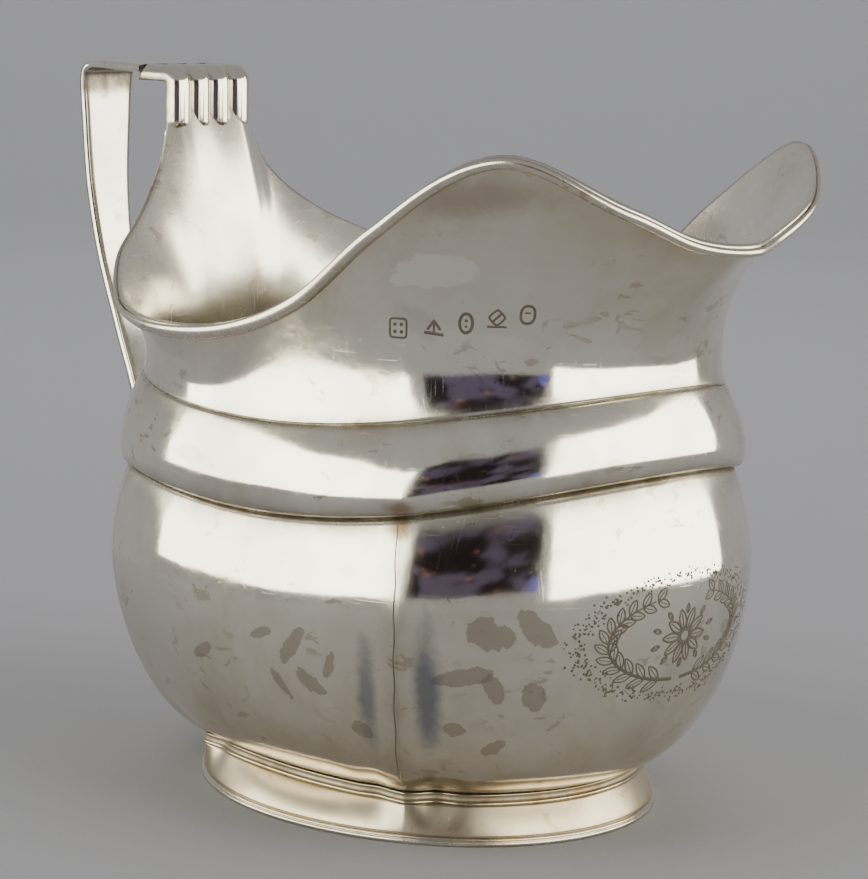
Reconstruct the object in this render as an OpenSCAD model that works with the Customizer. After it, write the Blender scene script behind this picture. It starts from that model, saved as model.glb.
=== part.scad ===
// Cream jug in silver sheet: lobed lower body, plain shoulder band, wavy-rimmed neck with
// a pouring lip, stepped oval foot and an angular strap handle reeded at its upper end.
// Millimetres. +Z up, +X toward the pouring lip, origin on the table under the middle of the
// overall length, so the foot centre lies a little ahead of it.

/* [Body] */
// Height of the widest level of the lower body
body_waist_z = 34; // [28:0.5:40]
// Half length of the lower body at its widest level
body_half_length = 51.6; // [46:0.1:58]
// Half width of the lower body at its widest level
body_half_width = 41.1; // [36:0.1:48]
// Half length of the lower body where it stands on the foot
base_half_length = 33.2; // [28:0.1:40]
// Half width of the lower body where it stands on the foot
base_half_width = 25.8; // [20:0.1:32]
// Height of the crease between lower body and shoulder band, at the sides
lower_crease_z = 45.8; // [42:0.1:52]
// How much that crease arches up at the front
lower_crease_lift = 7.4; // [0:0.1:9]
// Crispness of the four upright corner ridges
ridge_crispness = 240; // [40:10:400]
// Depth of the flutes that flank each corner ridge, at the foot
flute_depth = 1.3; // [0:0.1:2.5]

/* [Band and neck] */
// Height of the crease between shoulder band and neck, at the sides
upper_crease_z = 58.4; // [55:0.1:66]
// How much the upper crease arches up at the front
upper_crease_lift = 6.1; // [0:0.1:9]
// How much both creases arch up at the back
back_lift = 3; // [0:0.1:6]
// Half length of the neck at its foot
neck_half_length = 47; // [42:0.1:52]
// Half width of the neck at its foot
neck_half_width = 37.5; // [32:0.1:42]
// How far the shoulder band swells between its creases
band_swell = 2.1; // [0:0.1:4]
// Sheet thickness
sheet = 0.7; // [0.5:0.05:1.4]

/* [Rim] */
// Height of the rim at the pouring lip
lip_z = 85; // [78:0.1:92]
// Reach of the pouring lip ahead of the centre
lip_reach = 60.4; // [54:0.1:66]
// Height of the two raised shoulders beside the lip
shoulder_z = 96.8; // [88:0.1:102]
// Lowest height of the rim, on each side near the handle
rim_low_z = 70.6; // [66:0.1:76]
// Height of the top of the handle tongue
tongue_z = 101.6; // [96:0.1:106]
// Width of the wire along the rim
rim_wire_width = 2.1; // [1:0.1:3]

/* [Foot] */
// Half length of the foot on the table
foot_half_length = 37.1; // [32:0.1:42]
// Half width of the foot on the table
foot_half_width = 30.9; // [26:0.1:36]
// Height of the foot
foot_height = 7; // [5:0.1:10]

/* [Handle] */
// Distance of the handle corner behind the centre
handle_reach = 79.8; // [70:0.1:88]
// Height of the flat top of the handle
handle_top_z = 104.2; // [98:0.1:110]
// Strap width at the corner
strap_corner_width = 10; // [7:0.1:14]
// Strap width where it divides into reeds
strap_reed_width = 15.9; // [12:0.1:24]
// Strap width at its lower end
strap_end_width = 6; // [4:0.1:9]
// Strap thickness
strap_thickness = 1.5; // [1:0.1:2.5]
// Height at which the strap meets the lower body
strap_end_z = 42.5; // [38:0.1:45]

/* [Hidden] */
SEG = 96;
CROWD = 27;
FLANGE_H = 1.5;
FOOT_WIRE_H = 1.2;
CORNER_ANGLE = 48.6;
GAP = 0.05;
BODY_ROWS = 12;
BAND_ROWS = 7;
NECK_ROWS = 10;
CORNER_BASE = [21, 23.8];
CORNER_WAIST = [31.6, 34.8];
CREASE_FILL = 0.82;
FULLNESS = 2.15;
SWELL_PEAK = 0.65;
ROOT_FLARE = 1;
ROOT_HEIGHT = 4;
BODY_TAPER = 0.03;
NECK_TAPER = 0.04;
NECK_FLARE = 2.3;
ARCH_POWER = 6.5;
BACK_POWER = 4;
FOOT_X = 9.4;
RIM_ANGLE = [0, 8, 18, 34.5, 55, 75, 100, 132, 148, 160, 168.5, 172, 174, 180];
RIM_RADIUS = [lip_reach, 58.6, 58.6, 52.5, 41.3, 37.1, 39, 45.6, 48.8, 50.5, 52.6, 53.8, 54.8, 55];
RIM_HEIGHT = [lip_z, 86.1, 90.3, shoulder_z, 86.5, 75.8, rim_low_z, 71.1, 76.9, 81.8, 88.4, 95.7,
    tongue_z, tongue_z];
WIRE_ANGLE_END = 171.5;
WIRE_ROWS = 84;
REEDS = 4;
REED_PITCH = 3.9;
REED_R = 2.1;
REED_START_X = -60;
REED_TIP_Z = 95.6;
REED_BACK_X = -53.2;
SILVER = [0.78, 0.77, 0.74];
SHADE = [0.68, 0.67, 0.64];

// Piecewise cubic through stations, level at both ends
function seg_of(xs, x, i = 0) = (i >= len(xs) - 2 || x < xs[i + 1]) ? i : seg_of(xs, x, i + 1);
function slope_at(xs, ys, i) = (i == 0 || i == len(xs) - 1) ? 0
    : (ys[i + 1] - ys[i - 1]) / (xs[i + 1] - xs[i - 1]);
function through(xs, ys, x) = let (i = seg_of(xs, x), h = xs[i + 1] - xs[i], s = (x - xs[i]) / h)
    (2 * s * s * s - 3 * s * s + 1) * ys[i] + (3 * s * s - 2 * s * s * s) * ys[i + 1]
    + (s * s * s - 2 * s * s + s) * h * slope_at(xs, ys, i)
    + (s * s * s - s * s) * h * slope_at(xs, ys, i + 1);

// Plan angle of sample i, crowded toward the handle end
function plan(i) = 360 * i / SEG + CROWD * sin(360 * i / SEG);
function fold(p) = let (q = p - 360 * floor(p / 360)) q > 180 ? 360 - q : q;
function oval(a, b, p) = 1 / sqrt(pow(cos(p) / a, 2) + pow(sin(p) / b, 2));
function full_oval(a, b, p) = pow(pow(abs(cos(p)) / a, FULLNESS) + pow(abs(sin(p)) / b, FULLNESS),
    -1 / FULLNESS);
function arch(p) = pow((1 + cos(p)) / 2, ARCH_POWER);
function back_arch(p) = back_lift * pow((1 - cos(p)) / 2, BACK_POWER);
// Slimming of the plan at its two front corners
function slim(p, k) = 1 - k * (fold(p) < 90 ? pow(sin(2 * fold(p)), 2) : 0);

// Four lobes meeting at four corners: side curve cut by end curve
function lobed(a, b, c, p) =
    let (sa = c[0] / sqrt(1 - pow(c[1] / b, 2)), eb = c[1] / sqrt(1 - pow(c[0] / a, 2)),
    rs = oval(sa, b, p), re = oval(a, eb, p))
    rs * pow(1 + pow(rs / re, ridge_crispness), -1 / ridge_crispness);
// Hollows on both sides of each corner ridge, deepest at the foot
function flute(f, p) = let (q = fold(p), c = abs(90 - q) - 90 + CORNER_ANGLE)
    flute_depth * pow(1 - f * 0.9, 1.5)
    * (exp(-pow((c - 8) / 4.5, 2)) + 0.55 * exp(-pow((c + 7.5) / 4, 2)));
function fill(z) = z < body_waist_z
    ? pow(max(0, 1 - pow((body_waist_z - z) / (body_waist_z - foot_height), 1.8)), 0.6)
    : 1 - (1 - CREASE_FILL) * pow((z - body_waist_z) / (lower_crease_z - body_waist_z), 2);
function body_ring(f, p) = slim(p, BODY_TAPER)
    * lobed(base_half_length + (body_half_length - base_half_length) * f,
    base_half_width + (body_half_width - base_half_width) * f,
    CORNER_BASE + (CORNER_WAIST - CORNER_BASE) * f, p) - flute(f, p);
function neck_ring(p) = slim(p, NECK_TAPER) * full_oval(neck_half_length, neck_half_width, p);
function low_z(p) = lower_crease_z + lower_crease_lift * arch(p) + back_arch(p);
function up_z(p) = upper_crease_z + upper_crease_lift * arch(p) + back_arch(p);
function rim_r(p) = through(RIM_ANGLE, RIM_RADIUS, fold(p));
function rim_z(p) = through(RIM_ANGLE, RIM_HEIGHT, fold(p));

// Outer skins as [radius, height] at plan angle p and level t from 0 to 1
function body_skin(p, t) = let (s = 0.35 * t * t + 0.65 * t,
    z = foot_height + GAP + (lower_crease_z - foot_height - GAP) * s)
    [body_ring(fill(z), p), z + (low_z(p) - lower_crease_z) * t * t];
function band_skin(p, t) = [body_ring(CREASE_FILL, p) * (1 - t) + neck_ring(p) * t
    + band_swell * pow(max(0, sin(180 * pow(t, SWELL_PEAK))), 0.8),
    low_z(p) + GAP + (up_z(p) - low_z(p) - GAP) * t];
function neck_skin(p, t) = let (n = neck_ring(p) - 0.12 - ROOT_FLARE)
    [n + (rim_r(p) - n) * pow(t, NECK_FLARE)
    + ROOT_FLARE * exp(-(rim_z(p) - up_z(p)) * t / ROOT_HEIGHT),
    up_z(p) + GAP + (rim_z(p) - up_z(p) - GAP) * t];
function skin(k, p, t) = k == 0 ? body_skin(p, t) : (k == 1 ? band_skin(p, t) : neck_skin(p, t));
function at(k, p, t) = let (s = skin(k, p, t)) [s[0] * cos(p), s[0] * sin(p), s[1]];
function unit(v) = v / norm(v);
function normal(k, p, t) = let (lo = max(0, t - 0.01), hi = min(1, t + 0.01))
    unit(cross(at(k, p + 0.4, t) - at(k, p - 0.4, t), at(k, p, hi) - at(k, p, lo)));
// Inner skin: square across both joints, true to the surface elsewhere
function inward(k, p, t) = let (n = normal(k, p, t), e = min(1, 6 * (k == 2 ? t : min(t, 1 - t))),
    w = k == 0 ? 1 + 0.9 * (1 - min(1, 5 * t)) : 1, m = [n[0], n[1], n[2] * e])
    at(k, p, t) - m * sheet * w / norm(m);

function section(k, p, rows) = concat([for (j = [0:rows]) at(k, p, j / rows)],
    [for (j = [rows:-1:0]) inward(k, p, j / rows)]);
function wrap_faces(n, m, close) = [for (i = [0:n - (close ? 1 : 2)], j = [0:m - 1])
    let (i2 = (i + 1) % n, j2 = (j + 1) % m)
    each [[i * m + j, i * m + j2, i2 * m + j2], [i * m + j, i2 * m + j2, i2 * m + j]]];

module ring(sections) {
    m = len(sections[0]);
    translate([FOOT_X, 0, 0]) polyhedron([for (s = sections) each s],
        wrap_faces(len(sections), m, true), convexity = 8);
}

module bar(sections) {
    n = len(sections);
    m = len(sections[0]);
    translate([FOOT_X, 0, 0]) polyhedron([for (s = sections) each s], concat(wrap_faces(n, m, false),
        [for (j = [1:m - 2]) [0, j + 1, j]],
        [for (j = [1:m - 2]) [(n - 1) * m, (n - 1) * m + j, (n - 1) * m + j + 1]]),
        convexity = 8);
}

module lower_body() {
    color(SILVER) ring([for (i = [0:SEG - 1]) section(0, plan(i), BODY_ROWS)]);
}

module shoulder_band() {
    color(SILVER) ring([for (i = [0:SEG - 1]) section(1, plan(i), BAND_ROWS)]);
}

module neck() {
    color(SILVER) ring([for (i = [0:SEG - 1]) section(2, plan(i), NECK_ROWS)]);
}

// Wire laid against the outside of the rim, wider low down and finer toward the lip
function wire_width(p) = rim_wire_width * (0.62 + 0.38 * (1 - cos(min(180, fold(p) * 1.4))) / 2);
function wire_section(p) = let (c = at(2, p, 1), n = normal(2, p, 1),
    d = unit(cross(at(2, p + 0.4, 1) - at(2, p - 0.4, 1), n)), w = wire_width(p), g = 0.12)
    [c + n * g - d * 0.15, c + n * (g + 0.55) - d * 0.15, c + n * (g + 0.95) + d * w * 0.3,
    c + n * (g + 0.85) + d * w * 0.75, c + n * (g + 0.35) + d * w, c + n * g + d * w];

module rim_wire() {
    color(SHADE) bar([for (i = [0:WIRE_ROWS]) let (u = -1 + 2 * i / WIRE_ROWS)
        wire_section(WIRE_ANGLE_END * (u + 0.14 * sin(180 * u)))]);
}

module base_plate() {
    color(SHADE) translate([FOOT_X, 0, foot_height - sheet])
        linear_extrude(sheet)
        polygon([for (i = [0:SEG - 1]) let (p = plan(i), r = body_ring(0, p) - 0.85)
            [r * cos(p), r * sin(p)]]);
}

function spot(r, p, z) = [r * cos(p), r * sin(p), z];

// Stepped flange that follows the corners of the body
module foot_flange() {
    low = foot_height - FLANGE_H;
    color(SILVER) ring([for (i = [0:SEG - 1]) let (p = plan(i), r = body_ring(0, p))
        [spot(r - 0.8, p, low), spot(r + 1.6, p, low), spot(r + 1.8, p, low + 0.25),
        spot(r + 1.3, p, low + 0.6), spot(r + 1.25, p, foot_height - 0.4),
        spot(r + 1.35, p, foot_height - 0.1), spot(r + 1.15, p, foot_height),
        spot(r - 0.8, p, foot_height)]]);
}

// Collar flaring from the cornered flange down to the oval base wire
function collar_r(p, t) = let (top = body_ring(0, p) + 1.35 + 0.35 * flute(0, p),
    low = oval(foot_half_length, foot_half_width, p) - 0.4) top + (low - top) * (1 - pow(1 - t, 1.4));

module foot_collar() {
    top = foot_height - FLANGE_H - GAP;
    low = FOOT_WIRE_H + GAP;
    rows = 5;
    color(SILVER) ring([for (i = [0:SEG - 1]) let (p = plan(i)) concat(
        [for (j = [0:rows]) spot(collar_r(p, 1 - j / rows), p, low + (top - low) * j / rows)],
        [for (j = [rows:-1:0]) spot(collar_r(p, 1 - j / rows) - sheet, p,
            low + (top - low) * j / rows)])]);
}

// Base wire with two reeds, flat underneath
module foot_wire() {
    color(SHADE) ring([for (i = [0:SEG - 1])
        let (p = plan(i), r = oval(foot_half_length, foot_half_width, p))
        [spot(r - 2.6, p, 0), spot(r - 0.2, p, 0), spot(r, p, 0.25), spot(r, p, 0.6),
        spot(r - 0.2, p, 0.8), spot(r - 0.1, p, 1), spot(r - 0.4, p, FOOT_WIRE_H),
        spot(r - 2.6, p, FOOT_WIRE_H)]]);
}

// Strap centre line from the reeds back to the corner, down and in to the lower body
STRAP_X = [REED_START_X - GAP, -70, -handle_reach + 3.6, -handle_reach + 1.4,
    -handle_reach + 0.75, -handle_reach + 0.75, -handle_reach + 1.2, -76.6, -72.6, -69.6,
    -66.4, -61, -55.5];
STRAP_Z = [103.45, 103.5, 103.4, 102.6, 100.4, 95, 84, 73, 62, 55, 48.6, 44, strap_end_z];
STRAP_W = [strap_reed_width, 12.5, strap_corner_width + 0.4, strap_corner_width,
    strap_corner_width - 0.2, 9.2, 8, 6.8, strap_end_width + 0.2, strap_end_width,
    strap_end_width, strap_end_width, strap_end_width];
STATION = [for (i = [0:12]) i];
STRAP_ROWS = 48;
function strap_mid(u) = [through(STATION, STRAP_X, u), 0, through(STATION, STRAP_Z, u)];
function strap_dir(u) = unit(strap_mid(min(12, u + 0.02)) - strap_mid(max(0, u - 0.02)));
function strap_loop(c, n, w, h) = [for (q = [[-1, -0.6], [-1, 0.6], [-0.86, 1], [0.86, 1],
    [1, 0.6], [1, -0.6], [0.86, -1], [-0.86, -1]]) c + [0, q[0] * w / 2, 0] + n * q[1] * h / 2];
function strap_section(u) = let (c = strap_mid(u), d = strap_dir(u), n = [d[2], 0, -d[0]])
    strap_loop(c, u == 0 ? [0, 0, 1] : n, through(STATION, STRAP_W, u), strap_thickness);
// Level on the lower body's skin that lies at height z, by repeated correction
function level_at(p, z, t = 0.9, n = 12) = n == 0 ? t : let (e = z - body_skin(p, t)[1])
    level_at(p, z, t + e / (lower_crease_z - foot_height), n - 1);
// Last section lies on the skin of the lower body
function landing() = [for (q = strap_loop([0, 0, strap_end_z], [0, 0, -1], strap_end_width,
    strap_thickness * 1.3)) let (p = 180 - asin(q[1] / 50),
    r = body_skin(p, level_at(p, q[2]))[0] + 0.12) [r * cos(p), q[1], q[2]]];

module handle_strap() {
    color(SILVER) bar(concat([for (i = [0:STRAP_ROWS]) strap_section(12 * i / STRAP_ROWS)],
        [landing()]));
}

// One reed: along the top of the handle, over the tongue, down its inner face
module reed() {
    z = handle_top_z - REED_R;
    x = REED_BACK_X + 0.35;
    translate([REED_START_X, 0, z]) rotate([0, 90, 0])
        cylinder(h = x - REED_START_X, r = REED_R, $fn = 32);
    translate([x, 0, z]) sphere(r = REED_R, $fn = 32);
    translate([x, 0, REED_TIP_Z]) cylinder(h = z - REED_TIP_Z, r = REED_R, $fn = 32);
    translate([x, 0, REED_TIP_Z]) sphere(r = REED_R, $fn = 32);
}

module handle_reeds() {
    floor_z = tongue_z + 0.1;
    color(SHADE) translate([FOOT_X, 0, 0]) difference() {
        union() {
            for (k = [0:REEDS - 1])
                translate([0, (k - (REEDS - 1) / 2) * REED_PITCH, 0]) reed();
        }
        translate([REED_BACK_X - 30, -20, floor_z - 30]) cube([30, 40, 30]);
        translate([REED_START_X - 10, -20, floor_z - 30]) cube([10, 40, 60]);
    }
}

lower_body();
shoulder_band();
neck();
rim_wire();
base_plate();
foot_flange();
foot_collar();
foot_wire();
handle_strap();
handle_reeds();
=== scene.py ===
"""Silver cream jug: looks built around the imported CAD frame. Metres, row frame."""
import math

import bpy
import numpy as np
from mathutils import Matrix, Vector


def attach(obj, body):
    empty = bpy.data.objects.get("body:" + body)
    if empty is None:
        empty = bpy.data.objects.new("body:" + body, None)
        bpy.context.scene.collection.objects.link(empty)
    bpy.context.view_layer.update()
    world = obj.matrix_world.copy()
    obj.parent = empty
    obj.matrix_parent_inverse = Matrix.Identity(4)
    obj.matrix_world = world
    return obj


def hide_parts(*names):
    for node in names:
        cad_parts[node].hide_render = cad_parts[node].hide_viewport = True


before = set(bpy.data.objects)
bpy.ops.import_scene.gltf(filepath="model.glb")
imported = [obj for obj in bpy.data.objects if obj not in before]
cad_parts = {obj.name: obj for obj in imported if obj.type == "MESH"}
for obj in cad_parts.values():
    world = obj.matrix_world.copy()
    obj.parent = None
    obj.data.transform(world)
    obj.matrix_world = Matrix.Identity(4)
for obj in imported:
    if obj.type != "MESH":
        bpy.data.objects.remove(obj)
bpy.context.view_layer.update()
MM = 0.001

# Driving dimensions, in millimetres, as in the CAD source
FOOT_X = 9.4
WAIST_Z, FOOT_H = 34.0, 7.0
BODY_A, BODY_B = 51.6, 41.1
BASE_A, BASE_B = 33.2, 25.8
CORNER_BASE, CORNER_WAIST = np.array([21.0, 23.8]), np.array([31.6, 34.8])
LOW_Z, LOW_LIFT, UP_Z, UP_LIFT, BACK_LIFT = 45.8, 7.4, 58.4, 6.1, 3.0
CRISP, CREASE_FILL, FULLNESS = 240.0, 0.82, 2.15
NECK_A, NECK_B, SWELL, SHEET = 47.0, 37.5, 2.1, 0.7
NECK_FLARE, ARCH_POWER, BACK_POWER, GAP = 2.3, 6.5, 4.0, 0.05
SWELL_PEAK, ROOT_FLARE, ROOT_HEIGHT = 0.65, 1.0, 4.0
BODY_TAPER, NECK_TAPER, FLUTE, CORNER_ANGLE = 0.03, 0.04, 1.3, 48.6
LIP_Z, LIP_REACH, SHOULDER_Z, RIM_LOW_Z, TONGUE_Z = 85.0, 60.4, 96.8, 70.6, 101.6
RIM_ANGLE = [0, 8, 18, 34.5, 55, 75, 100, 132, 148, 160, 168.5, 172, 174, 180]
RIM_RADIUS = [LIP_REACH, 58.6, 58.6, 52.5, 41.3, 37.1, 39, 45.6, 48.8, 50.5, 52.6, 53.8, 54.8, 55]
RIM_HEIGHT = [LIP_Z, 86.1, 90.3, SHOULDER_Z, 86.5, 75.8, RIM_LOW_Z, 71.1, 76.9, 81.8, 88.4, 95.7,
              TONGUE_Z, TONGUE_Z]
RIM_WIRE_W = 2.1
FOOT_A, FOOT_B = 37.1, 30.9
HANDLE_REACH, HANDLE_TOP = 79.8, 104.2
NECK_INSET, SEAM = 0.12, 0.12
FLANGE_H, FOOT_WIRE_H = 1.5, 1.2
STRAP_T, STRAP_END_W, STRAP_END_Z = 1.5, 6.0, 42.5
STRAP_X = [-60.05, -70, -HANDLE_REACH + 3.6, -HANDLE_REACH + 1.4, -HANDLE_REACH + 0.75,
           -HANDLE_REACH + 0.75, -HANDLE_REACH + 1.2, -76.6, -72.6, -69.6, -66.4, -61, -55.5]
STRAP_Z = [103.45, 103.5, 103.4, 102.6, 100.4, 95, 84, 73, 62, 55, 48.6, 44, STRAP_END_Z]
STRAP_W = [15.9, 12.5, 10.4, 10, 9.8, 9.2, 8, 6.8, 6.2, 6, 6, 6, STRAP_END_W]
REED_COUNT, REED_R, REED_PITCH, REED_TIP, REED_BACK = 4, 2.1, 3.9, 95.6, -53.2

# Mesh density: points round the jug, rows up each shell, steps and section points elsewhere
AROUND, BODY_ROWS, BAND_ROWS, NECK_ROWS = 288, 56, 28, 44
WIRE_STEPS, STRAP_ACROSS = 400, 15
STRAP_STATION = np.arange(len(STRAP_X))
STRAP_STEPS = np.linspace(0, 12, 181)
REED_ARC = np.linspace(-12, 192, 25)


def deg(f):
    """The function f of an angle, taking degrees."""
    return lambda x: f(np.radians(x))


cos, sin = deg(np.cos), deg(np.sin)


def through(xs, ys, x):
    """Piecewise cubic through stations, level at both ends, as in the CAD source."""
    xs, ys, x = np.array(xs, float), np.array(ys, float), np.asarray(x, float)
    m = np.zeros(len(xs))
    m[1:-1] = (ys[2:] - ys[:-2]) / (xs[2:] - xs[:-2])
    i = np.clip(np.searchsorted(xs, x, side="right") - 1, 0, len(xs) - 2)
    h = xs[i + 1] - xs[i]
    s = (x - xs[i]) / h
    return ((2 * s**3 - 3 * s**2 + 1) * ys[i] + (3 * s**2 - 2 * s**3) * ys[i + 1]
            + (s**3 - 2 * s**2 + s) * h * m[i] + (s**3 - s**2) * h * m[i + 1])


def fold(p):
    """Plan angle folded onto one side of the jug: 0 at the lip, 180 at the handle."""
    q = np.mod(p, 360)
    return np.where(q > 180, 360 - q, q)


def oval(a, b, p):
    return 1 / np.sqrt((cos(p) / a) ** 2 + (sin(p) / b) ** 2)


def full_oval(a, b, p):
    return ((np.abs(cos(p)) / a) ** FULLNESS + (np.abs(sin(p)) / b) ** FULLNESS) ** (-1 / FULLNESS)


def arch(p):
    """Lift of the creases toward the lip, 0 to 1."""
    return ((1 + cos(p)) / 2) ** ARCH_POWER


def back_arch(p):
    return BACK_LIFT * ((1 - cos(p)) / 2) ** BACK_POWER


def slim(p, k):
    """Narrowing of the plan between the lip and the widest point."""
    q = fold(p)
    return 1 - k * np.where(q < 90, sin(2 * q) ** 2, 0)


def lobed(a, b, cx, cy, p):
    """Plan radius of four lobes whose curves cross at the corners (cx, cy)."""
    side = oval(cx / np.sqrt(1 - (cy / b) ** 2), b, p)
    end = oval(a, cy / np.sqrt(1 - (cx / a) ** 2), p)
    return side * (1 + (side / end) ** CRISP) ** (-1 / CRISP)


def flute(f, p):
    """Depth of the shallow flutes on both sides of each corner ridge."""
    c = np.abs(90 - fold(p)) - 90 + CORNER_ANGLE
    return FLUTE * (1 - f * 0.9) ** 1.5 * (np.exp(-((c - 8) / 4.5) ** 2)
                                           + 0.55 * np.exp(-((c + 7.5) / 4) ** 2))


def fill(z):
    """Fullness of the lower body at a height: 0 at the base, 1 at the waist."""
    low = np.maximum(0, 1 - (np.maximum(0, WAIST_Z - z) / (WAIST_Z - FOOT_H)) ** 1.8) ** 0.6
    high = 1 - (1 - CREASE_FILL) * ((z - WAIST_Z) / (LOW_Z - WAIST_Z)) ** 2
    return np.where(z < WAIST_Z, low, high)


def body_ring(f, p):
    return slim(p, BODY_TAPER) * lobed(
        BASE_A + (BODY_A - BASE_A) * f, BASE_B + (BODY_B - BASE_B) * f,
        CORNER_BASE[0] + (CORNER_WAIST - CORNER_BASE)[0] * f,
        CORNER_BASE[1] + (CORNER_WAIST - CORNER_BASE)[1] * f, p) - flute(f, p)


def neck_ring(p):
    return slim(p, NECK_TAPER) * full_oval(NECK_A, NECK_B, p)


def low_z(p):
    return LOW_Z + LOW_LIFT * arch(p) + back_arch(p)


def up_z(p):
    return UP_Z + UP_LIFT * arch(p) + back_arch(p)


def rim_r(p):
    return through(RIM_ANGLE, RIM_RADIUS, fold(p))


def rim_z(p):
    return through(RIM_ANGLE, RIM_HEIGHT, fold(p))


def body_skin(p, t):
    s = 0.35 * t * t + 0.65 * t
    z = FOOT_H + GAP + (LOW_Z - FOOT_H - GAP) * s
    return body_ring(fill(z), p), z + (low_z(p) - LOW_Z) * t * t


def band_skin(p, t):
    r = (body_ring(CREASE_FILL, p) * (1 - t) + neck_ring(p) * t
         + SWELL * np.maximum(0, sin(180 * t**SWELL_PEAK)) ** 0.8)
    return r, low_z(p) + GAP + (up_z(p) - low_z(p) - GAP) * t


def neck_skin(p, t):
    n = neck_ring(p) - NECK_INSET - ROOT_FLARE
    root = ROOT_FLARE * np.exp(-(rim_z(p) - up_z(p)) * t / ROOT_HEIGHT)
    return (n + (rim_r(p) - n) * t**NECK_FLARE + root,
            up_z(p) + GAP + (rim_z(p) - up_z(p) - GAP) * t)


def at(skin, p, t):
    """Points of a skin at plan angle p and level t, 0 at its foot and 1 at its top."""
    p, t = np.broadcast_arrays(np.asarray(p, float), np.asarray(t, float))
    r, z = skin(p, t)
    return np.stack([r * cos(p), r * sin(p), z + 0 * r], -1)


def unit(v):
    return v / np.linalg.norm(v, axis=-1, keepdims=True)


def normal(skin, p, t):
    lo, hi = np.maximum(0, t - 0.01), np.minimum(1, t + 0.01)
    return unit(np.cross(at(skin, p + 0.2, t) - at(skin, p - 0.2, t),
                         at(skin, p, hi) - at(skin, p, lo)))


def plan(n):
    """Plan angles round the jug, crowded toward the handle end and closed up on the corners."""
    u = 360 * np.arange(n) / n
    p = u + 27 * sin(u)
    for corner in (CORNER_ANGLE, 360 - CORNER_ANGLE):
        k = int(np.argmin(np.abs(p - corner)))
        p[k - 1:k + 2] = corner + np.array([-0.45, 0, 0.45])
    return p


def make(name, verts, faces, smooth=True):
    mesh = bpy.data.meshes.new(name)
    pts = np.array(verts, float).reshape(-1, 3)
    pts[:, 0] += FOOT_X
    mesh.from_pydata((pts * MM).tolist(), [], faces)
    mesh.validate()
    mesh.polygons.foreach_set("use_smooth", [smooth] * len(mesh.polygons))
    obj = bpy.data.objects.new(name, mesh)
    bpy.context.scene.collection.objects.link(obj)
    return obj


def loft(name, sections, closed=True):
    """Skin over a row of equal closed sections; open lofts get end caps."""
    n, m = len(sections), len(sections[0])
    faces = []
    for i in range(n if closed else n - 1):
        for j in range(m):
            i2, j2 = (i + 1) % n, (j + 1) % m
            faces.append((i * m + j, i2 * m + j, i2 * m + j2, i * m + j2))
    if not closed:
        faces.append(tuple(range(m))[::-1])
        faces.append(tuple((n - 1) * m + j for j in range(m)))
    return make(name, sections, [f[::-1] for f in faces])


def grid(rows):
    """Plan angles down and levels across, for one shell."""
    return plan(AROUND)[:, None], np.linspace(0, 1, rows + 1)[None, :]


def shell(name, skin, rows, thick_end=0.0, free_rim=False):
    """Sheet-metal ring between its outer skin and an inner skin one sheet inside.

    The thickness runs level at the seams, so that both edges stay flat.
    """
    p, t = grid(rows)
    out = at(skin, p, t)
    inward = normal(skin, p, np.broadcast_to(t, (AROUND, rows + 1)))
    inward[..., 2] *= np.minimum(1, 6 * (t if free_rim else np.minimum(t, 1 - t)))
    thick = SHEET * (1 + thick_end * (1 - np.minimum(1, 5 * t)))
    inner = out - unit(inward) * thick[..., None]
    return loft(name, np.concatenate([out, inner[:, ::-1]], 1))


def ring_of(name, rows):
    """Ring from (radius at plan angle, height) pairs."""
    p = plan(AROUND)
    return loft(name, np.stack([np.stack([r(p) * cos(p), r(p) * sin(p), np.full_like(p, z)], -1)
                                for r, z in rows], 1))


def wire_rows():
    """Sections of the rim wire, from one side of the tongue round the lip to the other."""
    end, crowd = 171.5, 0.14
    u = -1 + 2 * np.arange(WIRE_STEPS + 1) / WIRE_STEPS
    p = end * (u + crowd * sin(180 * u))
    c, n = at(neck_skin, p, 1.0), normal(neck_skin, p, np.ones_like(p))
    d = unit(np.cross(at(neck_skin, p + 0.4, 1.0) - at(neck_skin, p - 0.4, 1.0), n))
    w = (RIM_WIRE_W * (0.62 + 0.38 * (1 - cos(np.minimum(180, fold(p) * 1.4))) / 2))[:, None]
    profile = [(SEAM, -0.15, 0), (0.5, -0.15, 0), (0.8, -0.05, 0.05), (1.0, 0, 0.3),
               (0.95, 0, 0.6), (0.85, 0, 0.8), (0.55, 0, 0.95), (SEAM, 0, 1.0)]
    return np.stack([c + n * out + d * (base + share * w) for out, base, share in profile], 1)


def flange_r(off):
    """Radius rule for the flange, which follows the foot of the lower body."""
    return lambda p: body_ring(0.0, p) + off


def collar_r(t, off=0.0):
    """Radius rule for the collar: lobed like the flange at t 0, oval like the foot at t 1."""
    def r(p):
        top, low = body_ring(0.0, p) + 1.35 + 0.35 * flute(0.0, p), oval(FOOT_A, FOOT_B, p) - 0.4
        return top + (low - top) * (1 - (1 - t) ** 1.4) + off
    return r


def wire_r(off):
    """Radius rule for the oval foot wire."""
    return lambda p: oval(FOOT_A, FOOT_B, p) + off


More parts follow.
